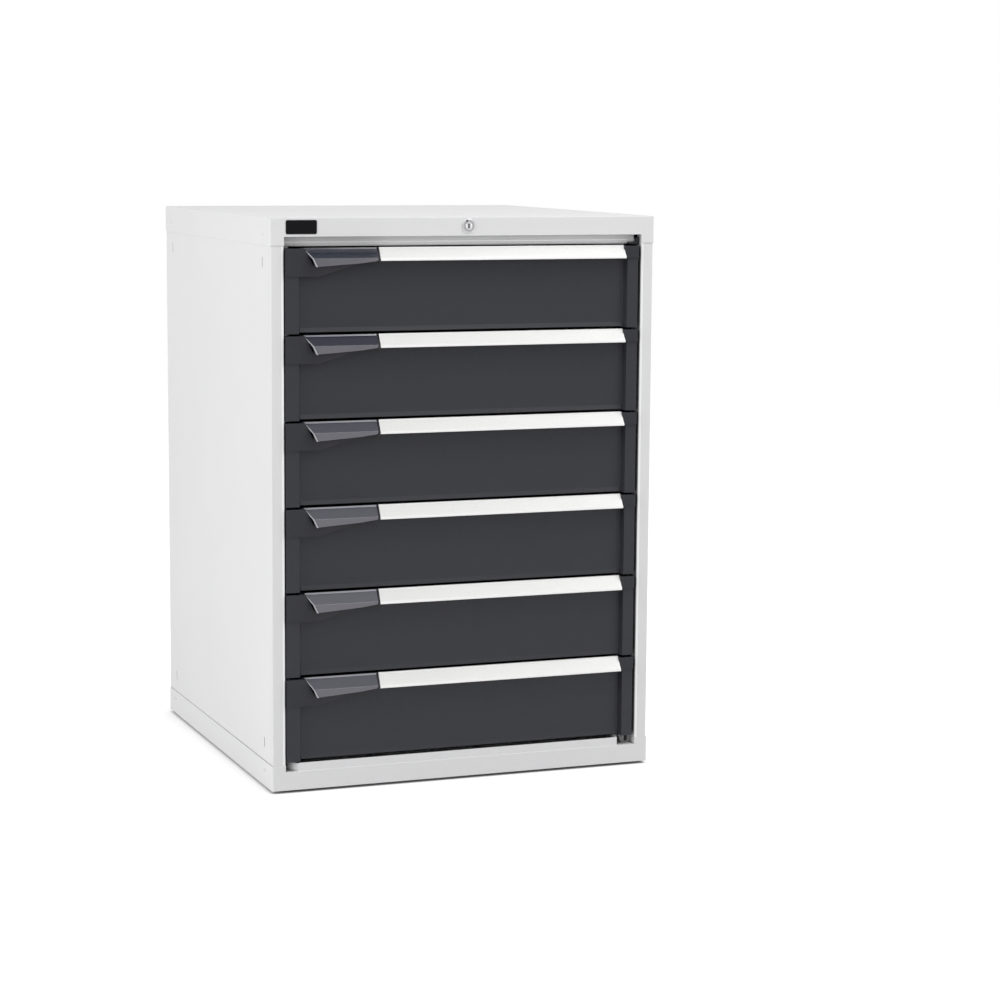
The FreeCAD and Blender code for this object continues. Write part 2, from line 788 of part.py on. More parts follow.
def make_end_caps(number):
    """The moulded ends of the front: the lever's housing at the left, a plain cap at the right."""
    body = new_body("drawer_%d_end_caps" % number)
    # the cheek between the lever and the handle
    outer = cheek_left - S["handle_slant"]
    skirt_face = front - S["skirt_reach"]
    skirt_low = lip_bottom - S["lip_height"]
    profile = [
        (panel, crown), (crown_edge, crown), (lip, lip_top), (lip, lip_bottom),
        (skirt_face, skirt_low), (panel, skirt_low),
    ]
    add_along(body, "x", outer, cheek_right, [profile])
    far = cheek_right - S["handle_slant"]
    trims = [
        [(cheek_right, panel), (far, lip), (cheek_right, lip)],
        [(outer, panel), (cheek_left, panel), (outer, lip)],
    ]
    cut_along(body, "z", skirt_low, crown, trims)
    # the skirt under the lever, thin-walled and open below
    lifted = front_top - S["skirt_lift"]
    end = cheek_right - S["handle_slant"] - S["cheek_width"] / 2
    bend = block_foot + S["skirt_straight"]
    side = [
        (block_foot, cap_low), (bend, cap_low), (bend + S["skirt_run"], skirt_low),
        (end, skirt_low), (end, lifted), (block_foot, lifted),
    ]
    add_along(body, "y", skirt_face, panel, [side])
    slant = [(block_foot, skirt_face), (end, skirt_face), (block_foot, cap_face)]
    cut_along(body, "z", cap_low, lifted, [slant])
    wall = S["skirt_wall"]
    hollow = [
        (block_foot + wall, cap_face + wall), (end - wall, skirt_face + wall),
        (end - wall, panel), (block_foot + wall, panel),
    ]
    cut_along(body, "z", cap_low, lifted - wall, [hollow])
    # the block over the left strip, its right side parallel to the lever's end
    block = [
        (-left_edge, cap_low), (block_foot, cap_low), (block_foot, lever_low),
        (block_top, front_top), (-left_edge, front_top),
    ]
    add_along(body, "y", cap_face, front, [block])
    backing = [(-step_foot, cap_low)] + block[1:4] + [(-step_foot, front_top)]
    add_along(body, "y", front, panel, [backing])
    # the cap over the right strip
    right_low = front_top - S["right_cap_height"]
    seat = handle_right - end_shift(cap_face) + S["cap_play"]
    right = [
        (step_foot, panel), (seat, cap_face), (strip_edge, cap_face),
        (strip_edge, front), (step_top, front),
    ]
    add_along(body, "z", right_low, front_top, [right])
    # the lever's bearings
    bore = (pivot_y, pivot_z, S["pivot_radius"] + S["pin_play"])
    cut_along(body, "x", outer, cheek_right, [], [bore])
    cut_along(body, "x", -step_foot, block_foot, [], [bore])
    raise_to(body, number)


def make_lever(number):
    """The catch lever: a sloping shell that turns about its top edge, with its arm and hook."""
    body = new_body("drawer_%d_catch_lever" % number)
    wall = S["lever_wall"]
    crease = lip_bottom + S["lip_height"] / 2
    tuck = lip + S["lever_tuck"]
    brow = (crown_edge - S["lever_brow_reach"], crown - S["lever_brow"])
    profile = [
        (crown_edge, crown), brow, (lip, crease), (tuck, lever_low), (tuck + wall, lever_low),
        (tuck + wall, crease - wall / 2), (crown_edge, crown - S["lever_web"]),
    ]
    add_along(body, "x", lever_left, lever_right, [profile])
    slant = S["handle_slant"]
    right_trim = [(lever_right, panel), (lever_right, lip), (lever_right - slant, lip)]
    cut_along(body, "z", lever_low, crown, [right_trim])
    bend = lever_corner + S["lever_run"]
    raised = lever_low + S["lever_rise"]
    low_trim = [
        (lever_corner, lever_low), (lever_right, lever_low), (lever_right, lip_bottom), (bend, raised),
    ]
    left_trim = [(lever_left, crown), (lever_left, lever_low), (lever_corner, lever_low)]
    cut_along(body, "y", lip, crown_edge, [left_trim, low_trim])
    # the shaft, its stub in the cheek, and the arm with the hook
    nose_left = -(strip_edge - S["nose_margin"])
    shaft = [(pivot_y, pivot_z, S["pivot_radius"])]
    add_along(body, "x", nose_left, lever_corner, [], shaft)
    add_along(body, "x", lever_right - S["lever_slant"], cheek_left + S["pivot_length"], [], shaft)
    low = pivot_z - S["pivot_radius"]
    end = tooth_end + S["strike_play"] + S["hook_length"]
    arm = [
        (pivot_y - S["pivot_radius"], low), (end, low), (end, low + S["hook_height"]),
        (end - S["hook_length"], low + S["hook_height"]), (end - S["hook_length"], low + S["nose_height"]),
        (pivot_y - S["pivot_radius"], low + S["nose_height"]),
    ]
    add_along(body, "x", nose_left, nose_left + S["nose_width"], [arm])
    raise_to(body, number)


def make_strikes():
    """The catch plates on the left front column, one over each lever's hook."""
    body = new_body("latch_strikes")
    low = pivot_z - S["pivot_radius"] + S["hook_height"] + S["strike_play"]
    high = low + S["strike_height"]
    wall = -half_opening
    tooth = rectangle(wall, wall + S["strike_reach"], tooth_start, tooth_end)
    first = add_along(body, "z", low, high, [tooth])
    plate = rectangle(wall, wall + S["strike_sheet"], tooth_start, tooth_start + S["strike_plate"])
    second = add_along(body, "z", low, low + S["strike_foot"], [plate])
    repeat_along(body, [first, second], "Z_Axis", drawer_rows, DRAWERS)


def make_lock_housing():
    body = new_body("lock_housing")
    centre = (S["lock_side"], lock_height)
    add_along(body, "y", front - S["lock_face"], front, [], [centre + (S["lock_face_radius"],)])
    add_along(body, "y", front, barrel_end, [], [centre + (S["lock_barrel_radius"],)])
    bore = S["plug_radius"] + S["pin_play"]
    cut_along(body, "y", front - S["lock_face"], barrel_end, [], [centre + (bore,)])


def make_lock_nut():
    """The hexagon nut that holds the lock behind the fascia."""
    body = new_body("lock_nut")
    side = S["lock_side"]
    reach = S["lock_nut_radius"]
    corners = []
    for across_share, along_share in HEXAGON_SHARES:
        corners.append((side + reach * across_share, lock_height + reach * along_share))
    end = post_front + S["lock_nut"]
    add_along(body, "y", post_front, end, [corners])
    bore = S["lock_barrel_radius"] + S["pin_play"]
    cut_along(body, "y", post_front, end, [], [(side, lock_height, bore)])


# The cam's pin hangs down and to the right of the lock's axis while it is open.
cam_offset = S["cam_reach"] * DIAGONAL_SHARE
pin_x = S["lock_side"] + cam_offset
pin_z = lock_height - cam_offset
bar_pin_x = bar_left - S["bar_head"]
bar_pin_z = lock_height - S["bar_pin_drop"]


def make_lock_plug():
    """The turning plug with its key slot, its cam and the cam's pin."""
    body = new_body("lock_plug")
    side = S["lock_side"]
    face = front - S["lock_face"] - S["key_bow"]
    add_along(body, "y", face, cam_front, [], [(side, lock_height, S["plug_radius"])])
    half_width_key = S["key_slot_width"] / 2
    half_height_key = S["key_slot_height"] / 2
    slot = rectangle(side - half_width_key, side + half_width_key,
                     lock_height - half_height_key, lock_height + half_height_key)
    cut_along(body, "y", face, face + S["key_slot_depth"], [slot])
    half = S["cam_width"] / 2 * DIAGONAL_SHARE
    tip = cam_offset + half / 2
    arm = [
        (side - half, lock_height - half), (side + tip - half, lock_height - tip - half),
        (side + tip + half, lock_height - tip + half), (side + half, lock_height + half),
    ]
    add_along(body, "y", cam_front, cam_back, [arm])
    pin_end = link_back + S["cam_sheet"]
    add_along(body, "y", cam_back, pin_end, [], [(pin_x, pin_z, S["cam_pin_radius"])])


def make_lock_link():
    """The flat link behind the crossrail, slotted for the cam's pin and for the bar's pin."""
    body = new_body("lock_link")
    play = S["lock_play"]
    radius = S["cam_pin_radius"]
    wall = S["link_wall"]
    slot_low = lock_height - S["cam_reach"] - radius - play
    slot_high = pin_z + radius + play
    left = pin_x - radius - play - wall
    ramp_start = bar_pin_x - S["bar_pin_radius"] - play * 2
    ramp_end = bar_pin_x + S["link_travel"] + S["bar_pin_radius"] + play * 2
    rise = S["bar_pin_radius"] + play * 2
    right = ramp_end + wall
    shoulder = right - S["link_end"]
    low = ramp(ramp_end) - rise - wall
    high = ramp(ramp_start) + rise + wall
    corners = [
        (left, slot_low - wall), (shoulder, slot_low - wall), (shoulder, low), (right, low), (right, high),
        (shoulder, high), (shoulder, slot_high + wall), (left, slot_high + wall),
    ]
    add_along(body, "y", link_front, link_back, [corners])
    cam_slot = rectangle(pin_x - radius - play, pin_x + radius + play, slot_low, slot_high)
    bar_slot = [
        (ramp_start, ramp(ramp_start) - rise), (ramp_end, ramp(ramp_end) - rise),
        (ramp_end, ramp(ramp_end) + rise), (ramp_start, ramp(ramp_start) + rise),
    ]
    cut_along(body, "y", link_front, link_back, [cam_slot, bar_slot])


def ramp(x):
    """The height of the link's sloping slot at a place along X."""
    return bar_pin_z - (x - bar_pin_x) * S["bar_travel"] / S["link_travel"]


def make_lock_bar():
    """The upright bar behind the right post, with a tab for each drawer and a head for the link."""
    body = new_body("lock_bar")
    low = sill + S["bar_foot"]
    high = bar_pin_z + S["bar_head_height"] / 2
    head_low = bar_pin_z - S["bar_head_height"] / 2
    head_left = bar_pin_x - S["bar_head_height"] / 2
    corners = [
        (bar_left, low), (bar_right, low), (bar_right, high), (head_left, high),
        (head_left, head_low), (bar_left, head_low),
    ]
    add_along(body, "y", bar_front, bar_back, [corners])
    tab_tip = half_tray + S["stop_reach"] - S["stop_overlap"]
    tab = rectangle(tab_tip, bar_left, tab_low, tab_low + S["tab_height"])
    first = add_along(body, "y", bar_front, bar_back, [tab])
    repeat_along(body, [first], "Z_Axis", drawer_rows, DRAWERS)
    pin_end = link_back + S["cam_sheet"]
    add_along(body, "y", bar_back, pin_end, [], [(bar_pin_x, bar_pin_z, S["bar_pin_radius"])])


def make_guides():
    """Channel guides behind the right post, and the blocks that close the bar's path at both ends."""
    body = new_body("lock_bar_guides")
    wall = S["guide_sheet"]
    play = S["bar_play"]
    inner_left = bar_left - play
    inner_right = bar_right + play
    seat = bar_front - play
    corners = [
        (inner_left - wall, post_back), (inner_right + wall, post_back), (inner_right + wall, guide_back),
        (inner_right, guide_back), (inner_right, seat), (inner_left, seat), (inner_left, guide_back),
        (inner_left - wall, guide_back),
    ]
    low = tab_low - S["guide_drop"]
    first = add_along(body, "z", low, low + S["guide_height"], [corners])
    repeat_along(body, [first], "Z_Axis", drawer_rows, DRAWERS)
    # the foot block on the sill, with its slanted end and its hole
    high = sill + S["foot_height"]
    foot = [
        (foot_left, high), (foot_left + S["foot_slant"], sill), (half_opening, sill), (half_opening, high),
    ]
    foot_end = front + S["sill_ledge"] + S["case_sheet"]
    foot_front = foot_end - S["foot_depth"]
    add_along(body, "y", foot_front, foot_end, [foot])
    hole_right = half_opening - S["foot_hole_inset"]
    hole_low = sill + (S["foot_height"] - S["foot_hole_height"]) / 2
    hole_left = hole_right - S["foot_hole_width"]
    hole = rectangle(hole_left, hole_right, hole_low, hole_low + S["foot_hole_height"])
    cut_along(body, "y", foot_front, foot_end, [hole])
    # the head block before the crossrail's end
    face = front + S["crossrail_depth"]
    head_low = fascia_edge - S["crossrail_drop"] - S["head_drop"]
    bar_top = head_low + S["head_bar"]
    head_high = head_low + S["head_height"]
    step = half_opening - S["head_step"]
    head = [
        (half_opening - S["head_width"], head_low), (half_opening, head_low), (half_opening, head_high),
        (step, head_high), (step, bar_top), (half_opening - S["head_width"], bar_top),
    ]
    add_along(body, "y", face - S["head_depth"], face, [head])


def make_badge():
    """The bare plate at the fascia's left end."""
    body = new_body("badge_plate")
    left = -half_width + S["badge_margin"]
    high = top - S["badge_drop"]
    plate = rectangle(left, left + S["badge_width"], high - S["badge_height"], high)
    add_along(body, "y", front - S["badge_sheet"], front, [plate])
    round_edges(body, S["badge_radius"], lambda edge: runs_along(edge, ALONG_Y))


def make_glides():
    """Four low round glides under the corners of the base."""
    body = new_body("floor_glides")
    circles = []
    for x in (-(half_width - S["glide_inset"]), half_width - S["glide_inset"]):
        for y in (front + S["glide_inset"], back - S["glide_inset"]):
            circles.append((x, y, S["glide_radius"]))
    add_along(body, "z", ZERO, floor_edge, [], circles)


def make_screws():
    """The hexagon-headed screws that hold the cover and the base to the side walls."""
    body = new_body("case_screws")
    reach = S["screw_radius"]
    heads = []
    for y in (front + S["screw_inset"], back - S["screw_inset"]):
        for z in (floor_edge + S["screw_margin"], top - S["screw_margin"]):
            heads.append([(y + reach * a, z + reach * b) for a, b in HEXAGON_SHARES])
    add_along(body, "x", half_width, half_width + S["screw_crown"], heads)
    add_along(body, "x", -(half_width + S["screw_crown"]), -half_width, heads)


def feature_volume_lost(feature):
    """How much material a pocket took from the solid before it."""
    return feature.BaseFeature.Shape.Volume - feature.Shape.Volume


make_cover()
make_base()
make_side("left_side_panel", -1)
make_side("right_side_panel", 1)
make_back()
make_crossrail()
make_columns()
make_runners()
make_strikes()
for number in range(1, DRAWERS + 1):
    make_tray(number)
    make_front_panel(number)
    make_handle(number)
    make_label(number)
    make_end_caps(number)
    make_lever(number)
    make_carriages(number)
make_lock_housing()
make_lock_nut()
make_lock_plug()
make_lock_link()
make_lock_bar()
make_guides()
make_badge()
make_glides()
make_screws()
doc.recompute()

for item in doc.Objects:
    if "Invalid" in item.State or "Error" in item.State:
        raise RuntimeError("%s is in state %s" % (item.Name, item.State))
for body, pocket in pockets:
    if feature_volume_lost(pocket) <= 0:
        raise RuntimeError("%s cuts nothing from %s" % (pocket.Name, body.Label))
for body in pieces:
    if body.Shape.isNull() or not body.Shape.isValid():
        raise RuntimeError("%s has no valid shape" % body.Label)

os.makedirs("parts", exist_ok=True)
for body in pieces:
    solids = len(body.Shape.Solids)
    print("%s: %d solids, %.1f cubic millimetres" % (body.Label, solids, body.Shape.Volume))
    body.Shape.exportStep(os.path.join("parts", body.Label + ".step"))
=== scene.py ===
"""The looks of a steel drawer cabinet with six drawers.

Blender works in metres. Places and sizes are written in millimetres here, unless it says otherwise, and MM
turns them into metres.
"""

import math

import bmesh
import bpy
from mathutils import Matrix, Vector


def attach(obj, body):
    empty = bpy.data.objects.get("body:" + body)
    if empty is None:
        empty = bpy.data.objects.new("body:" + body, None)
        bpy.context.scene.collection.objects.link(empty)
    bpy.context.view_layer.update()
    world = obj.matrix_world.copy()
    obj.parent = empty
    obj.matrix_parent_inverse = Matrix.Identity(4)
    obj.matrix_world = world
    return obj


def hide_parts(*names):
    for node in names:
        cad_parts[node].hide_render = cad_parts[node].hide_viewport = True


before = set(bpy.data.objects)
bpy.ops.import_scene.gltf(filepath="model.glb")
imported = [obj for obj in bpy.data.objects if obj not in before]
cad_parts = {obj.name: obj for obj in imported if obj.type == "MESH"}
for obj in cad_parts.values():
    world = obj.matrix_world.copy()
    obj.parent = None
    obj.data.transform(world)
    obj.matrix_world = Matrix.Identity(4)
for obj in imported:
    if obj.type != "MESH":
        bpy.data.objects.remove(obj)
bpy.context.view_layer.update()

MM = 0.001

# The cabinet. Drawer 1 is the top drawer.
DRAWERS = 6
# The lowest front's foot, and the way from one front's foot to the next.
FIRST_DRAWER = 55.5
DRAWER_PITCH = 150.0
# From a front's foot to its crown, the grip's top edge.
CROWN_RISE = 147.5
# From the middle to the case's front, to its side and to a post's inner edge.
FRONT_PLANE = 352.5
CASE_SIDE = 358.5
POST_EDGE = 333.5
# How far the recessed middle of a front lies behind the front plane.
PANEL_RECESS = 12.0
# The lock's centre across and up.
LOCK_CENTRE = (2.0, 989.0)

# The photograph's camera: its place in metres, and its turn to the right, its tilt and its roll in degrees.
# The focal length is in pixels of the photograph, which is IMAGE_SIDE pixels wide and high.
IMAGE_SIDE = 1000
CAMERA_PLACE = Vector((-1.633, -4.725, 1.146))
CAMERA_YAW = 21.22
CAMERA_PITCH = -7.81
CAMERA_ROLL = 0.42
FOCAL_PIXELS = 2658
SENSOR_WIDTH = 36.0

# The studio, in metres and watts: each soft box has a place, the side of its square and a power.
LAMP_AIM = (0.0, 0.0, 0.5)
LAMPS = {
    "left_box": ((-4.2, -1.0, 1.8), 3.0, 93.0),
    "front_box": ((-0.9, -5.0, 3.5), 3.0, 26.0),
    "top_box": ((1.5, -1.9, 3.6), 2.4, 71.0),
}
# The strength of the surround where it isn't seen.
WORLD_LIGHT = 0.457
# The floor's side, the tone of its paint, how much it glows where it is seen, and how far the painted
# contact shadow, which dims that glow, reaches.
FLOOR_SIDE = 14.0
FLOOR_TONE = 0.80
FLOOR_GLOW = 0.62
CONTACT_REACH = 0.12
OCCLUSION_SAMPLES = 8

# Colours as linear red, green and blue.
CASE_WHITE = (0.735, 0.735, 0.742)
# The painted highlight on the case's bends and on the crossrail's bead.
CASE_HIGHLIGHT = (0.93, 0.93, 0.93)
CASE_SHADE = (0.03, 0.03, 0.032)
ANTHRACITE = (0.0158, 0.0167, 0.0228)
ANTHRACITE_SHADE = (0.0045, 0.0050, 0.0080)
TRAY_GREY = (0.42, 0.43, 0.44)
GRIP_WHITE = (0.92, 0.92, 0.91)
# The label card's painted shade at the left and painted light at the right.
CARD_SHADED = (0.875, 0.875, 0.860)
CARD_LIT = (0.985, 0.985, 0.970)
CAP_GREY = (0.0150, 0.0155, 0.0205)
CAP_VIOLET = (0.0215, 0.0185, 0.0265)
# The painted highlight on the caps' lower bends.
CAP_HIGHLIGHT_COLOUR = (0.050, 0.048, 0.055)
LEVER_NAVY = (0.023, 0.027, 0.042)
# The lever's painted light: its lower facet, its lit top and the painted highlight on its back edge.
LEVER_LIT_FACET = (0.115, 0.108, 0.130)
LEVER_LIT_TOP = (0.150, 0.148, 0.172)
LEVER_BROW_HIGHLIGHT = (0.36, 0.36, 0.40)
# The painted highlight on the lever's ends and its rib.
LEVER_END_HIGHLIGHT = (0.46, 0.46, 0.49)
ZINC = (0.55, 0.56, 0.58)
NICKEL = (0.62, 0.62, 0.63)
NICKEL_SHADE = (0.42, 0.42, 0.43)
# A brighter nickel: the painted highlight on the lock's guards.
NICKEL_HIGHLIGHT = (0.92, 0.92, 0.93)
BADGE_BLACK = (0.006, 0.006, 0.007)
PLASTIC_BLACK = (0.030, 0.029, 0.033)
# The guides' foot grey, raised with painted light.
GUIDE_FOOT_LIT = (0.30, 0.30, 0.31)

# How bright each drawer's label is beside the others, from the top drawer down; the top one is darkened
# with painted shade.
LABEL_SHADE_TONES = (0.92, 1.0, 1.0, 1.0, 1.0, 1.0)
# How much painted light each drawer's lever takes on top, and how bright its painted back-edge highlight
# is, from the top drawer down.
LEVER_LIGHT_TINTS = ((0.0, 0.0), (0.12, 0.5), (0.50, 0.6), (0.70, 0.7), (0.90, 0.7), (0.72, 0.7))

# Where a noise pattern's low and high values lie.
NOISE_RANGE = (0.35, 0.65)
# Depths of the bumps on powder paint and on moulded plastic.
PEEL = 0.03
GRAIN = 0.02

# Where a surface's direction, one for straight along an axis, lies in a band that takes a painted
# highlight: the middle and the reach.
BEND_HIGHLIGHT_BAND = (0.62, 0.30)
CAP_HIGHLIGHT_BAND = (-0.55, 0.40)
BROW_BAND = (0.36, 0.24)
LEFT_END_BAND = (-1.0, 0.45)
RIGHT_END_BAND = (1.0, 0.45)
# Where a ramp over a surface's direction starts and ends.
FACES_FORWARD = (-0.8, -0.95)
FACES_DOWN = (0.05, -0.25)
# How far painted shade from openness reaches, and the openness at which it starts and is full.
GAP_SHADE = (30.0, 0.42, 0.13)
GRIP_SHADE = (26.0, 0.92, 0.42)
# From which share of a drawer's height the painted shade under the grip starts, and where it is full.
UNDER_GRIP = (0.5, 0.7)
# How wide the painted highlight on the bend at a post's inner edge is.
POST_HIGHLIGHT_WIDTH = 4.6
# Between which distances before the front plane the moulded ends turn violet.
CAP_FORWARD = (3.2, 5.5)
# Between which heights the lock bar's guides turn from grey to dark.
GUIDE_TURN = (900.0, 910.0)
# Between which places across the labels turn lighter with painted light.
LABEL_LIGHT_TURN = (-120.0, 240.0)
# The dished ring round the lock's plug, which takes painted shade: its middle radius and half its width.
LOCK_RING = (8.6, 1.7)


def add_node(tree, kind, inputs=(), **settings):
    """A node; its inputs, by name or number, are values or other nodes' outputs."""
    node = tree.nodes.new(kind)
    for key, value in settings.items():
        setattr(node, key, value)
    for key, value in dict(inputs).items():
        if isinstance(value, bpy.types.NodeSocket):
            tree.links.new(value, node.inputs[key])
        else:
            node.inputs[key].default_value = value
    return node


def calculate(tree, operation, *values, clamp=False):
    """The result of a Math node."""
    node = add_node(tree, "ShaderNodeMath", enumerate(values), operation=operation, use_clamp=clamp)
    return node.outputs["Value"]


def occlusion(tree, reach):
    """How open the space round a point is, from zero to one."""
    inputs = {"Distance": reach}
    return add_node(tree, "ShaderNodeAmbientOcclusion", inputs, samples=OCCLUSION_SAMPLES).outputs["AO"]


def seen_rays(tree):
    """One where a ray comes from the camera, a mirror or glass, and zero elsewhere."""
    path = add_node(tree, "ShaderNodeLightPath").outputs
    reflected = calculate(tree, "MAXIMUM", path["Is Camera Ray"], path["Is Glossy Ray"])
    return calculate(tree, "MAXIMUM", reflected, path["Is Transmission Ray"])


def mixed(first, second, share):
    """A colour that lies a share of the way from the first to the second."""
    return tuple(a + share * (b - a) for a, b in zip(first, second))


def scaled(colour, factor):
    return tuple(factor * c for c in colour)


class Surface:
    """A material with a Principled shader, and the nodes that vary it over the surface."""

    def __init__(self, name, colour, roughness, metallic=0.0, specular=0.5):
        self.material = bpy.data.materials.new(name)
        self.material.use_nodes = True
        self.tree = self.material.node_tree
        self.shader = self.tree.nodes["Principled BSDF"]
        self.colour = colour
        self.roughness = roughness
        self.set("Base Color", (*colour, 1.0))
        self.set("Roughness", roughness)
        self.set("Metallic", metallic)
        self.set("Specular IOR Level", specular)
        self.point = self.node("ShaderNodeTexCoord").outputs["Object"]

    def node(self, kind, inputs=(), **settings):
        return add_node(self.tree, kind, inputs, **settings)

    def set(self, socket, value):
        self.shader.inputs[socket].default_value = value

    def drive(self, socket, output):
        self.tree.links.new(output, self.shader.inputs[socket])

    def place(self, axis):
        """Where a point lies along X, Y or Z, in metres."""
        return self.node("ShaderNodeSeparateXYZ", {"Vector": self.point}).outputs[axis]

    def direction(self, axis):
        """How much the surface faces along X, Y or Z, from minus one to one."""
        normal = self.node("ShaderNodeNewGeometry").outputs["Normal"]
        return self.node("ShaderNodeSeparateXYZ", {"Vector": normal}).outputs[axis]

    def noise(self, scale, detail=3.0, stretch=(1, 1, 1)):
        """A noise pattern; the scale is the number of features in a metre."""
        mapping = self.node("ShaderNodeMapping", {"Vector": self.point, "Scale": stretch})
        inputs = {"Vector": mapping.outputs["Vector"], "Scale": scale, "Detail": detail}
        return self.node("ShaderNodeTexNoise", inputs).outputs["Fac"]

    def ramp(self, value, start, end, low=0.0, high=1.0):
        """A number that runs from low to high as a value runs from start to end."""
        inputs = {"Value": value, "From Min": start, "From Max": end, "To Min": low, "To Max": high}
        return self.node("ShaderNodeMapRange", inputs).outputs["Result"]

    def spread(self, pattern, low, high):
        """A number that runs from low to high with a noise pattern."""
        return self.ramp(pattern, *NOISE_RANGE, low, high)

    def band(self, value, middle, reach):
        """One where a value lies within reach of the middle, and zero elsewhere."""
        return calculate(self.tree, "COMPARE", value, middle, reach)

    def multiply(self, first, second, clamp=False):
        return calculate(self.tree, "MULTIPLY", first, second, clamp=clamp)

    def closeness(self, reach, start, end):
        """A number that runs from zero to one as the openness round a point falls from start to end."""
        return self.ramp(occlusion(self.tree, reach * MM), start, end)

    def drawer_height(self):
        """Where a point lies in its drawer's front, from zero at the foot to one at the next drawer."""
        lift = calculate(self.tree, "SUBTRACT", self.place("Z"), FIRST_DRAWER * MM)
        rows = calculate(self.tree, "DIVIDE", lift, DRAWER_PITCH * MM)
        return calculate(self.tree, "FRACT", rows)

    def blend(self, factor, first, second):
        """Let the colour run from the first to the second; the first is a colour or a node's output."""
        first = (*first, 1.0) if isinstance(first, tuple) else first
        inputs = {"A": first, "B": (*second, 1.0), "Factor": factor}
        self.drive("Base Color", self.node("ShaderNodeMix", inputs, data_type="RGBA").outputs["Result"])

    def recolour(self, factor, second):
        """Blend a second colour over the one that the surface has."""
        socket = self.shader.inputs["Base Color"]
        self.blend(factor, socket.links[0].from_socket if socket.is_linked else self.colour, second)

    def vary_colour(self, pattern, share):
        """Let the colour run a share up and down with a pattern."""
        factor = self.spread(pattern, 0.0, 1.0)
        self.blend(factor, scaled(self.colour, 1 - share), scaled(self.colour, 1 + share))

    def vary_roughness(self, pattern, share):
        low = self.roughness * (1 - share)
        high = self.roughness * (1 + share)
        self.drive("Roughness", self.spread(pattern, low, high))

    def bump(self, pattern, depth, strength):
        """Raise the surface with a pattern."""
        inputs = {"Height": pattern, "Distance": depth * MM, "Strength": strength}
        self.drive("Normal", self.node("ShaderNodeBump", inputs).outputs["Normal"])

    def coat(self, weight, roughness):
        self.set("Coat Weight", weight)
        self.set("Coat Roughness", roughness)


def powder_coat(name, colour, roughness, peel=PEEL):
    """Baked powder paint on sheet steel: orange peel, a faint cloud in the tone, flat gloss."""
    surface = Surface(name, colour, roughness, specular=0.4)
    surface.vary_colour(surface.noise(4.0), share=0.008)
    surface.vary_roughness(surface.noise(140.0), share=0.06)
    surface.bump(surface.noise(620.0, detail=2.0), peel, strength=0.35)
    return surface


def case_coat(name, posts=False):
    """The case's paint, with painted highlights on the bends that face right or down and painted shade in
    narrow gaps.

    On the posts a painted highlight lies on the inner bends too.
    """
    surface = powder_coat(name, CASE_WHITE, 0.46)
    middle, reach = BEND_HIGHLIGHT_BAND
    surface.recolour(surface.band(surface.direction("X"), middle, reach), CASE_HIGHLIGHT)
    surface.recolour(surface.band(surface.direction("Z"), -middle, reach), CASE_HIGHLIGHT)
    if posts:
        # A painted highlight on the bend at each post's inner edge.
        across = calculate(surface.tree, "ABSOLUTE", surface.place("X"))
        bend = surface.band(across, (POST_EDGE + POST_HIGHLIGHT_WIDTH / 2) * MM, POST_HIGHLIGHT_WIDTH / 2 * MM)
        forward = surface.ramp(surface.direction("Y"), *FACES_FORWARD)
        surface.recolour(surface.multiply(bend, forward), CASE_HIGHLIGHT)
    # Painted shade in narrow gaps.
    surface.recolour(surface.closeness(*GAP_SHADE), CASE_SHADE)
    return surface.material


def front_coat():
    """Dark paint, with painted shade under the grips."""
    surface = powder_coat("front_paint", ANTHRACITE, 0.50)
    upper_part = surface.ramp(surface.drawer_height(), *UNDER_GRIP)
    # Painted shade under the grip.
    surface.recolour(surface.multiply(surface.closeness(*GRIP_SHADE), upper_part), ANTHRACITE_SHADE)
    return surface.material


def moulded_plastic(name, colour, roughness):
    """Spark-eroded moulded plastic with a fine grain."""
    surface = Surface(name, colour, roughness, specular=0.35)
    surface.vary_colour(surface.noise(30.0), share=0.05)
    surface.vary_roughness(surface.noise(90.0), share=0.12)
    surface.bump(surface.noise(1500.0, detail=4.0), GRAIN, strength=0.5)
    return surface


def cap_plastic():
    """The ends' plastic: violet where it stands forward under the lever, with a painted highlight on its
    lower bends.
    """
    surface = moulded_plastic("cap_plastic", CAP_GREY, 0.46)
    start, end = (-(FRONT_PLANE + distance) * MM for distance in CAP_FORWARD)
    surface.recolour(surface.ramp(surface.place("Y"), start, end), CAP_VIOLET)
    # Painted highlight on the lower bends.
    surface.recolour(surface.band(surface.direction("Z"), *CAP_HIGHLIGHT_BAND), CAP_HIGHLIGHT_COLOUR)
    return surface.material


def guide_plastic():
    """Grey plastic at the foot of the lock bar, lightened with painted light as it sits in deep shade, and
    dark plastic at its head.
    """
    surface = moulded_plastic("guide_plastic", GUIDE_FOOT_LIT, 0.55)
    start, end = (height * MM for height in GUIDE_TURN)
    surface.recolour(surface.ramp(surface.place("Z"), start, end), CAP_GREY)
    return surface.material


def zinc_plate():
    """Rolled zinc-plated sheet with a fine grain along the strip."""
    surface = Surface("zinc_steel", ZINC, 0.34, metallic=1.0)
    surface.vary_colour(surface.noise(38.0, detail=5.0), share=0.10)
    surface.vary_roughness(surface.noise(260.0, detail=2.0, stretch=(0.05, 1, 1)), share=0.25)
    surface.bump(surface.noise(520.0, detail=2.0, stretch=(0.06, 1, 1)), depth=0.02, strength=0.4)
    return surface.material


def nickel_plate(name, colour):
    """Bright nickel on turned brass, with faint turning marks."""
    surface = Surface(name, colour, 0.20, metallic=1.0)
    surface.vary_roughness(surface.noise(700.0, detail=2.0), share=0.3)
    surface.bump(surface.noise(1800.0, detail=2.0), depth=0.004, strength=0.3)
    return surface


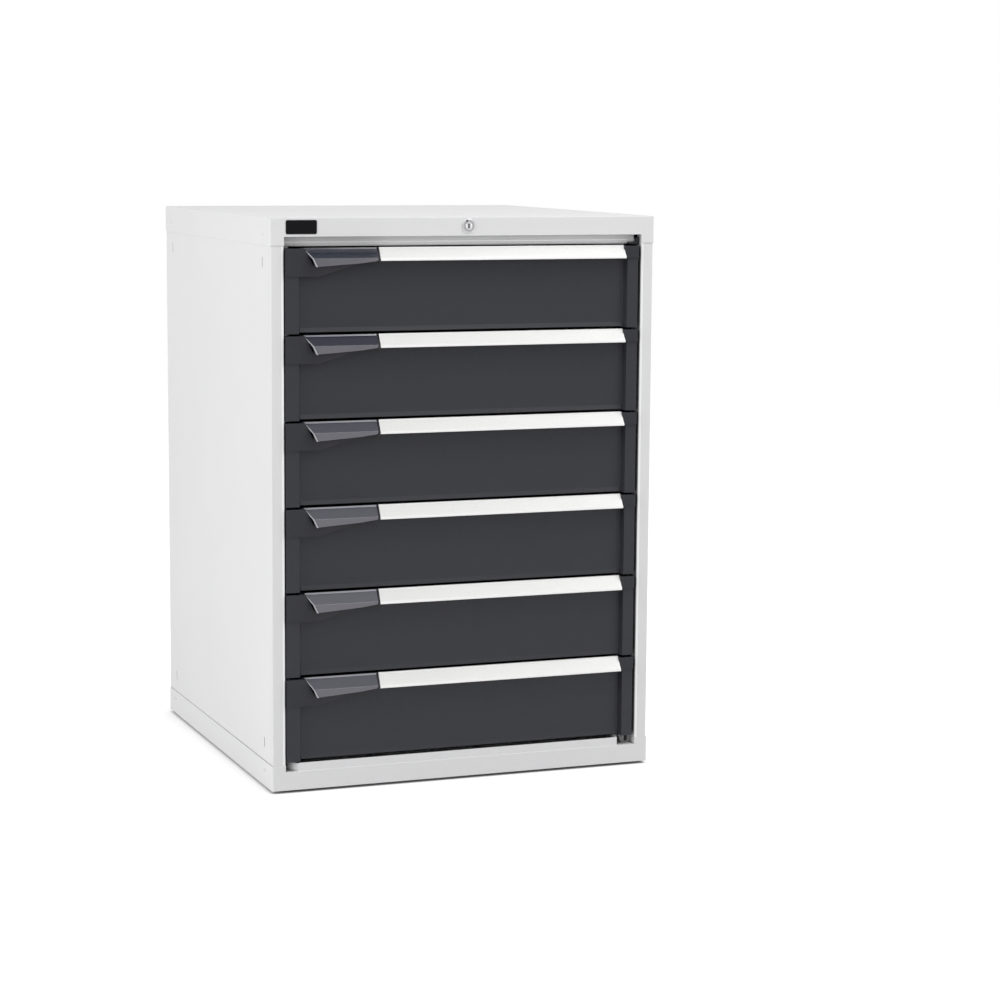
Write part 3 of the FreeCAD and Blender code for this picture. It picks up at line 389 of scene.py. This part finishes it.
def lock_nickel():
    """The lock's plating, with painted shade in the dished ring round the plug."""
    surface = nickel_plate("lock_nickel", NICKEL)
    flat = surface.node("ShaderNodeVectorMath", {0: surface.point, 1: (1, 0, 1)}, operation="MULTIPLY")
    centre = Vector((LOCK_CENTRE[0], 0, LOCK_CENTRE[1])) * MM
    inputs = {0: flat.outputs["Vector"], 1: centre}
    away = surface.node("ShaderNodeVectorMath", inputs, operation="DISTANCE").outputs["Value"]
    radius, reach = LOCK_RING
    # Painted shade in the ring round the plug.
    surface.recolour(surface.band(away, radius * MM, reach * MM), NICKEL_SHADE)
    return surface.material


def grip_coat():
    """White coating on a drawn aluminium profile, with draw lines along X."""
    surface = Surface("grip_coat", GRIP_WHITE, 0.32)
    surface.vary_colour(surface.noise(12.0), share=0.01)
    surface.bump(surface.noise(900.0, detail=2.0, stretch=(0.02, 1, 1)), depth=0.01, strength=0.3)
    return surface.material


def label_card(name, tone):
    """Blank card under a clear film: paper fibres, a soft gloss, and painted shade that lightens to the
    right.
    """
    surface = Surface(name, scaled(CARD_SHADED, tone), 0.30, specular=0.45)
    surface.vary_colour(surface.noise(900.0, detail=2.0, stretch=(0.4, 1, 1)), share=0.003)
    start, end = (across * MM for across in LABEL_LIGHT_TURN)
    surface.recolour(surface.ramp(surface.place("X"), start, end), scaled(CARD_LIT, tone))
    surface.vary_roughness(surface.noise(300.0), share=0.1)
    surface.coat(weight=0.5, roughness=0.08)
    return surface.material


def smoky_plastic(name, top_light, edge):
    """Tinted glossy plastic: dark on top, painted milky where light comes through it, and with painted
    highlights at thin edges.

    top_light says how much painted light comes up through the top, and edge how bright the painted
    highlight on the thin back edge is.
    """
    surface = Surface(name, LEVER_NAVY, 0.14)
    top = mixed(LEVER_NAVY, LEVER_LIT_TOP, top_light)
    cloud = surface.spread(surface.noise(22.0), 0.85, 1.1)
    # Painted light on the lower facet.
    lower_facet = surface.ramp(surface.direction("Z"), *FACES_DOWN)
    surface.blend(surface.multiply(lower_facet, cloud, clamp=True), top, LEVER_LIT_FACET)
    surface.recolour(surface.band(surface.direction("Z"), *BROW_BAND), mixed(top, LEVER_BROW_HIGHLIGHT, edge))
    # Painted highlights on the two ends.
    surface.recolour(surface.band(surface.direction("X"), *LEFT_END_BAND), LEVER_END_HIGHLIGHT)
    surface.recolour(surface.band(surface.direction("X"), *RIGHT_END_BAND), LEVER_END_HIGHLIGHT)
    surface.vary_roughness(surface.noise(60.0), share=0.2)
    surface.coat(weight=0.3, roughness=0.05)
    return surface.material


def badge_enamel():
    """Glossy black enamel, bare."""
    surface = Surface("badge_enamel", BADGE_BLACK, 0.22, specular=0.08)
    surface.vary_roughness(surface.noise(140.0), share=0.2)
    surface.bump(surface.noise(300.0, detail=2.0), depth=0.01, strength=0.3)
    return surface.material


CASE = case_coat("case_paint")
POST = case_coat("post_paint", posts=True)
SCREW = powder_coat("screw_paint", CASE_WHITE, 0.42, peel=0.02).material
# A brighter copy of the case paint: the painted highlight on the crossrail's bead.
HIGHLIGHT_PAINT = powder_coat("crossrail_highlight_paint", CASE_HIGHLIGHT, 0.46).material
FRONT = front_coat()
TRAY = powder_coat("tray_paint", TRAY_GREY, 0.50).material
STEEL = zinc_plate()
GRIP = grip_coat()
# A card for each drawer, the top one darkened with painted shade.
CARDS = [label_card("label_card_%d" % (i + 1), tone) for i, tone in enumerate(LABEL_SHADE_TONES)]
CAP = cap_plastic()
BLACK = moulded_plastic("black_plastic", PLASTIC_BLACK, 0.55).material
GUIDE = guide_plastic()
END_HIGHLIGHT_PLASTIC = moulded_plastic("lever_highlight_plastic", LEVER_END_HIGHLIGHT, 0.35).material
# A lit copy of the lever plastic for each drawer, with its own painted light.
LEVERS = [smoky_plastic("lever_plastic_%d" % (i + 1), *tint) for i, tint in enumerate(LEVER_LIGHT_TINTS)]
CHROME = lock_nickel()
# The guards' nickel, brighter as a painted highlight.
HIGHLIGHT_NICKEL = nickel_plate("highlight_nickel", NICKEL_HIGHLIGHT).material
BADGE = badge_enamel()

# What each node is made of, and how wide its edges are rounded. A list has a material for each drawer.
FINISHES = {
    "top_cover": (CASE, 0.6),
    "base_frame": (CASE, 0.5),
    "left_side_panel": (POST, 0.65),
    "right_side_panel": (POST, 0.65),
    "back_panel": (CASE, 0.4),
    "front_crossrail": (CASE, 0.4),
    "case_screws": (CASE, 0.3),
    "runner_columns": (STEEL, 0.3),
    "outer_runners": (STEEL, 0.3),
    "latch_strikes": (STEEL, 0.3),
    "lock_nut": (STEEL, 0.3),
    "lock_link": (STEEL, 0.3),
    "lock_bar": (STEEL, 0.3),
    "lock_housing": (CHROME, 0.4),
    "lock_plug": (CHROME, 0.25),
    "lock_bar_guides": (GUIDE, 0.4),
    "floor_glides": (BLACK, 0.6),
    "badge_plate": (BADGE, 0.25),
    "tray": (TRAY, 0.4),
    "front_panel": (FRONT, 0.5),
    "handle_rail": (GRIP, 0.5),
    "label_strip": (CARDS, 0.15),
    "end_caps": (CAP, 0.6),
    "catch_lever": (LEVERS, 0.4),
    "carriages": (STEEL, 0.3),
}
SHARP_ANGLE = math.radians(28)
FLAT_ANGLE = math.radians(0.5)
WELD_GAP = 0.001


def finish_of(node):
    """A node's material and the rounding of its edges."""
    if not node.startswith("drawer_"):
        return FINISHES[node]
    number, kind = node.split("_", 2)[1:]
    material, rounding = FINISHES[kind]
    if isinstance(material, list):
        material = material[int(number) - 1]
    return material, rounding


def join_flat_faces(node):
    """Join the triangles of a CAD node into flat faces, so that its edges can be rounded."""
    weld = node.modifiers.new("weld", "WELD")
    weld.merge_threshold = WELD_GAP * MM
    flat = node.modifiers.new("flat", "DECIMATE")
    flat.decimate_type = "DISSOLVE"
    flat.angle_limit = FLAT_ANGLE


def round_edges(piece, rounding):
    """Round the sharp edges of a piece, as bent sheet, drawn profiles and mouldings have them."""
    if rounding:
        bevel = piece.modifiers.new("rounding", "BEVEL")
        bevel.width = rounding * MM
        bevel.segments = 2
        bevel.limit_method = "ANGLE"
        bevel.angle_limit = SHARP_ANGLE
    normals = piece.modifiers.new("shading", "WEIGHTED_NORMAL")
    normals.keep_sharp = True


def finish_nodes():
    """Give each CAD node its material and its rounded edges."""
    for name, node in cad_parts.items():
        material, rounding = finish_of(name)
        node.data.materials.clear()
        node.data.materials.append(material)
        join_flat_faces(node)
        round_edges(node, rounding)


def add_piece(name, lofts, material, body, rounding=0.0):
    """A piece on the body that carries it, made of one or more lofts in millimetres."""
    shape = bmesh.new()
    for rings in lofts:
        loft(shape, rings)
    bmesh.ops.recalc_face_normals(shape, faces=shape.faces)
    mesh = bpy.data.meshes.new(name)
    shape.to_mesh(mesh)
    shape.free()
    piece = bpy.data.objects.new(name, mesh)
    bpy.context.scene.collection.objects.link(piece)
    mesh.materials.append(material)
    for face in mesh.polygons:
        face.use_smooth = True
    round_edges(piece, rounding)
    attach(piece, body)
    return piece


def loft(shape, rings):
    """Skin a row of rings that have as many points each, and close its two ends."""
    rows = [[shape.verts.new(Vector(point) * MM) for point in ring] for ring in rings]
    count = len(rows[0])
    for first, second in zip(rows, rows[1:]):
        for i in range(count):
            j = (i + 1) % count
            shape.faces.new((first[i], first[j], second[j], second[i]))
    shape.faces.new(reversed(rows[0]))
    shape.faces.new(rows[-1])


def circle_angles(sides):
    return [2 * math.pi * i / sides for i in range(sides)]


SCREW_SIDES = 36
SCREW_LOBES = 6
# The screw head's rings, from its seat to its socket's floor: radius, height and wave of the lobes.
SCREW_RINGS = (
    (3.6, -0.1, 0), (3.6, 0.35, 0), (3.25, 0.72, 0), (2.5, 0.95, 0), (1.95, 1.0, 0.05),
    (1.6, 0.92, 0.22), (1.5, 0.15, 0.22), (0.4, 0.05, 0),
)
SCREW_HEIGHTS = (34, 976)
SCREW_DEPTHS = (-306.5, 326.5)


def screw_rings(side, y, z):
    """The rings of a screw head on one side of the case, round a place on it."""
    rings = []
    for radius, height, wave in SCREW_RINGS:
        ring = []
        for angle in circle_angles(SCREW_SIDES):
            reach = radius + wave * math.cos(SCREW_LOBES * angle)
            x = side * (CASE_SIDE + height)
            ring.append((x, y + reach * math.cos(angle), z + reach * math.sin(angle)))
        rings.append(ring)
    return rings


def make_case_screws():
    """Domed screw heads with six-lobed sockets, at the four corners of each side."""
    heads = [screw_rings(side, y, z) for side in (-1, 1) for y in SCREW_DEPTHS for z in SCREW_HEIGHTS]
    piece = add_piece("case_screw_heads", heads, SCREW, "cabinet")
    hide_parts("case_screws")


# The thin strips of sheet on the cabinet: the outline from above, as places across and distances
# behind the front plane, the heights of the lower and upper edge, the material and the rounding.
STRIPS = {
    "base_corner_sheet": (
        ((-333.3, 24.5), (-311.7, 3.2), (-311.7, 4.8), (-333.3, 26.0)), (38.0, 52.5), CASE, 0.2,
    ),
    "crossrail_return": (
        ((-333.4, 16.0), (311.8, 16.0), (311.8, 17.2), (-333.4, 17.2)), (955.4, 957.3), CASE, 0.2,
    ),
    "crossrail_bead": (
        ((-333.4, 14.6), (311.8, 14.6), (311.8, 16.4), (-333.4, 16.4)), (961.2, 963.6), HIGHLIGHT_PAINT, 0.3,
    ),
}


def make_strips():
    """The sheet that leads the base's upstand back to the left post, and the crossrail's trim, whose bead
    is painted as a highlight.
    """
    for name, (outline, heights, material, rounding) in STRIPS.items():
        rings = [[(x, y - FRONT_PLANE, z) for x, y in outline] for z in heights]
        add_piece(name, [rings], material, "cabinet", rounding)


LOCK_COLLAR_FACE = -354.5
PLUG_FACE = -354.9
CAPSULE_SIDES = 24
# Keeps a capsule's first point on its upper half.
ABOVE_ZERO = 1e-6
# The small shapes on the lock's face: the centre from the lock's, width and height, and then the
# steps of its side, each the height over the face and the share of the outline.
# The keyway is a dark stud: painted shade in the slot.
KEYWAY = ((0, 0), (4.0, 7.4), ((-0.3, 1.0), (0.12, 1.0), (0.12, 0.8), (-0.25, 0.75)))
GUARD_STEPS = ((-0.1, 1.0), (0.35, 1.0), (0.5, 0.7))
GUARD_LEFT = ((-4.1, 0), (1.5, 6.6), GUARD_STEPS)
GUARD_RIGHT = ((4.1, 0), (1.5, 6.6), GUARD_STEPS)
INDEX_MARK = ((-3.4, 8.6), (3.4, 3.4), ((-0.1, 1.0), (0.15, 1.0), (0.15, 0.8), (0.02, 0.6)))


def capsule(width, height):
    """The outline of a slot with round ends, as places across and up."""
    radius = width / 2
    outline = []
    for angle in circle_angles(CAPSULE_SIDES):
        shift = math.copysign(height / 2 - radius, math.sin(angle + ABOVE_ZERO))
        outline.append((radius * math.cos(angle), radius * math.sin(angle) + shift))
    return outline


def add_stud(name, form, face, material, body):
    """A small raised or sunk shape on the lock's face."""
    (across, up), size, steps = form
    x0 = LOCK_CENTRE[0] + across
    z0 = LOCK_CENTRE[1] + up
    outline = capsule(*size)
    rings = []
    for rise, share in steps:
        rings.append([(x0 + x * share, face - rise, z0 + z * share) for x, z in outline])
    add_piece(name, [rings], material, body)


def make_lock_face():
    """The keyway, a dark stud as painted shade in the slot, with a guard on each side of it in painted
    highlight, and the index mark on the collar.
    """
    add_stud("lock_keyway_shade", KEYWAY, PLUG_FACE, BADGE, "lock_plug")
    # Guards in brighter nickel, as painted highlights.
    add_stud("lock_guard_left", GUARD_LEFT, PLUG_FACE, HIGHLIGHT_NICKEL, "lock_plug")
    add_stud("lock_guard_right", GUARD_RIGHT, PLUG_FACE, HIGHLIGHT_NICKEL, "lock_plug")
    add_stud("lock_index_mark", INDEX_MARK, LOCK_COLLAR_FACE, BADGE, "cabinet")


# The catch lever's outline, seen from its end: distances behind the front plane and heights over the
# crown, which is the grip's top edge. LEVER_LOW is the lower edge, which rises to the right.
LEVER_TOP = ((9.0, 0.0), (7.9, -3.0), (-20.0, -17.0))
LEVER_LOW = ((-18.0, -32.0), (-15.0, -32.0))
LEVER_INNER = ((-15.0, -18.5), (9.0, -5.0))
LEVER_HEIGHT = 32.0
LEVER_LEFT = -297.0
LEVER_RIGHT = -163.5
# How far the left end leans to the right over the lever's height, and how far the right end slants.
LEVER_LEAN = 16.0
LEVER_SLANT = 6.5
# How far the lower edge has risen: at the left end, at a run from it, and at the right end.
LEVER_RISES = (0.0, 5.5, 9.5)
LEVER_MIDDLE_RUN = 80.0
# The arm's outline with its hook, its left side and its width.
ARM = ((4.1, -6.6), (42.0, -6.6), (42.0, -2.5), (39.0, -2.5), (39.0, -4.6), (4.1, -4.6))
ARM_LEFT = -324.0
ARM_WIDTH = 8.0
# The shaft: its centre in the same plane, its radius and how far it stops before the lever's end.
SHAFT_CENTRE = (6.5, -4.2)
SHAFT_RADIUS = 2.4
SHAFT_STOP = 1.0
SHAFT_SIDES = 16
LEVER_ROUNDING = 0.35
# The rib of painted highlight along the leaning end: points on the lever's top line with the rib's width
# there, and how far the rib's outer face lies off them.
HIGHLIGHT_RIB_LINE = ((7.9, -3.0, 0.8), (-20.0, -17.0, 1.4), (-18.0, -32.0, 2.3))
HIGHLIGHT_RIB_LIFTS = ((-0.2, 0.4), (-0.45, 0.1), (-0.4, -0.1))
HIGHLIGHT_RIB_OVERHANG = 0.25
HIGHLIGHT_RIB_DEPTH = 0.6
HIGHLIGHT_RIB_ROUNDING = 0.15


def crown_of(drawer):
    """The height of a drawer's crown."""
    return FIRST_DRAWER + DRAWER_PITCH * (DRAWERS - drawer) + CROWN_RISE


def lever_point(x, y, z, crown):
    return (x, y - FRONT_PLANE, crown + z)


def leaning_end(z):
    """Where the lever's left end lies at a height under the crown."""
    return LEVER_LEFT - LEVER_LEAN / LEVER_HEIGHT * z


def slanting_end(y):
    """Where the lever's right end lies at a distance behind the front plane."""
    return LEVER_RIGHT - LEVER_SLANT / LEVER_HEIGHT * (PANEL_RECESS - y)


def lever_rings(crown):
    """The lever's outline at its left end, at its middle run and at its right end."""
    rings = []
    for station, rise in enumerate(LEVER_RISES):
        low = [(y, z + rise) for y, z in LEVER_LOW]
        ring = []
        for y, z in (*LEVER_TOP, *low, *LEVER_INNER):
            x = (leaning_end(z), LEVER_LEFT + LEVER_LEAN + LEVER_MIDDLE_RUN, slanting_end(y))[station]
            ring.append(lever_point(x, y, z, crown))
        rings.append(ring)
    return rings


def shaft_rings(crown):
    y0, z0 = SHAFT_CENTRE
    rings = []
    for x in (ARM_LEFT, LEVER_LEFT - SHAFT_STOP):
        rings.append([
            lever_point(x, y0 + SHAFT_RADIUS * math.cos(a), z0 + SHAFT_RADIUS * math.sin(a), crown)
            for a in circle_angles(SHAFT_SIDES)
        ])
    return rings


def arm_rings(crown):
    return [[lever_point(x, y, z, crown) for y, z in ARM] for x in (ARM_LEFT, ARM_LEFT + ARM_WIDTH)]


def highlight_rib_rings(crown):
    rings = []
    for (y, z, width), (lift_y, lift_z) in zip(HIGHLIGHT_RIB_LINE, HIGHLIGHT_RIB_LIFTS):
        left = leaning_end(z) - HIGHLIGHT_RIB_OVERHANG
        right = leaning_end(z) + width
        rings.append([
            lever_point(left, y + HIGHLIGHT_RIB_DEPTH, z, crown),
            lever_point(left, y + lift_y, z + lift_z, crown),
            lever_point(right, y + lift_y, z + lift_z, crown),
            lever_point(right, y + HIGHLIGHT_RIB_DEPTH, z, crown),
        ])
    return rings


def make_lever(drawer):
    """The catch lever: a thin faceted shell with shaft, arm and hook, and a rib of painted highlight at its
    left end.
    """
    crown = crown_of(drawer)
    name = "drawer_%d_catch_lever" % drawer
    parts = [lever_rings(crown), shaft_rings(crown), arm_rings(crown)]
    piece = add_piece(name + "_shell", parts, LEVERS[drawer - 1], name, LEVER_ROUNDING)
    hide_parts(name)
    # A pale rib as the painted highlight along the leaning end.
    add_piece(name + "_end_highlight_rib", [highlight_rib_rings(crown)], END_HIGHLIGHT_PLASTIC, name, HIGHLIGHT_RIB_ROUNDING)


def make_floor():
    """A plain floor: white where it is seen and lit, so that only the shadow shows; near the cabinet its
    glow dims as a painted contact shadow.
    """
    bpy.ops.mesh.primitive_plane_add(size=FLOOR_SIDE)
    floor = bpy.context.object
    floor.name = "floor"
    material = bpy.data.materials.new("floor")
    material.use_nodes = True
    tree = material.node_tree
    tree.nodes.clear()
    # The glow dims with occlusion: a painted contact shadow.
    lit = calculate(tree, "MULTIPLY", occlusion(tree, CONTACT_REACH), FLOOR_GLOW)
    shown = calculate(tree, "MULTIPLY", lit, seen_rays(tree))
    glow = add_node(tree, "ShaderNodeEmission", {"Color": (1, 1, 1, 1), "Strength": shown})
    tone = (FLOOR_TONE, FLOOR_TONE, FLOOR_TONE, 1)
    paint = add_node(tree, "ShaderNodeBsdfDiffuse", {"Color": tone})
    shaders = {0: paint.outputs["BSDF"], 1: glow.outputs["Emission"]}
    both = add_node(tree, "ShaderNodeAddShader", shaders)
    add_node(tree, "ShaderNodeOutputMaterial", {"Surface": both.outputs["Shader"]})
    floor.data.materials.append(material)


def make_world():
    """A white surround: strength 1 where it is seen, and the studio's soft fill elsewhere."""
    world = bpy.data.worlds.new("studio")
    bpy.context.scene.world = world
    world.use_nodes = True
    tree = world.node_tree
    inputs = {"Value": seen_rays(tree), "To Min": WORLD_LIGHT, "To Max": 1.0}
    strength = add_node(tree, "ShaderNodeMapRange", inputs).outputs["Result"]
    background = tree.nodes["Background"]
    background.inputs["Color"].default_value = (1, 1, 1, 1)
    tree.links.new(strength, background.inputs["Strength"])


def make_lamps():
    """Square soft boxes that aim at the middle of the cabinet."""
    for name, (place, size, power) in LAMPS.items():
        lamp = bpy.data.lights.new(name, "AREA")
        lamp.size = size
        lamp.energy = power
        holder = bpy.data.objects.new(name, lamp)
        holder.location = place
        holder.rotation_mode = "QUATERNION"
        holder.rotation_quaternion = (Vector(LAMP_AIM) - Vector(place)).to_track_quat("-Z", "Y")
        bpy.context.scene.collection.objects.link(holder)


def make_camera():
    """The photograph's camera, without shift."""
    yaw = math.radians(CAMERA_YAW)
    pitch = math.radians(CAMERA_PITCH)
    roll = math.radians(CAMERA_ROLL)
    ahead = Vector((math.sin(yaw) * math.cos(pitch), math.cos(yaw) * math.cos(pitch), math.sin(pitch)))
    level = Vector((math.cos(yaw), -math.sin(yaw), 0))
    upward = level.cross(ahead)
    right = math.cos(roll) * level + math.sin(roll) * upward
    up = math.cos(roll) * upward - math.sin(roll) * level
    data = bpy.data.cameras.new("camera")
    data.sensor_width = SENSOR_WIDTH
    data.lens = SENSOR_WIDTH * FOCAL_PIXELS / IMAGE_SIDE
    camera = bpy.data.objects.new("camera", data)
    turn = Matrix((right, up, -ahead)).transposed()
    camera.matrix_world = Matrix.Translation(CAMERA_PLACE) @ turn.to_4x4()
    bpy.context.scene.collection.objects.link(camera)
    bpy.context.scene.camera = camera


finish_nodes()
make_case_screws()
make_strips()
make_lock_face()
for drawer in range(1, DRAWERS + 1):
    make_lever(drawer)

make_floor()
make_world()
make_lamps()
make_camera()
bpy.context.scene.view_settings.view_transform = "Standard"
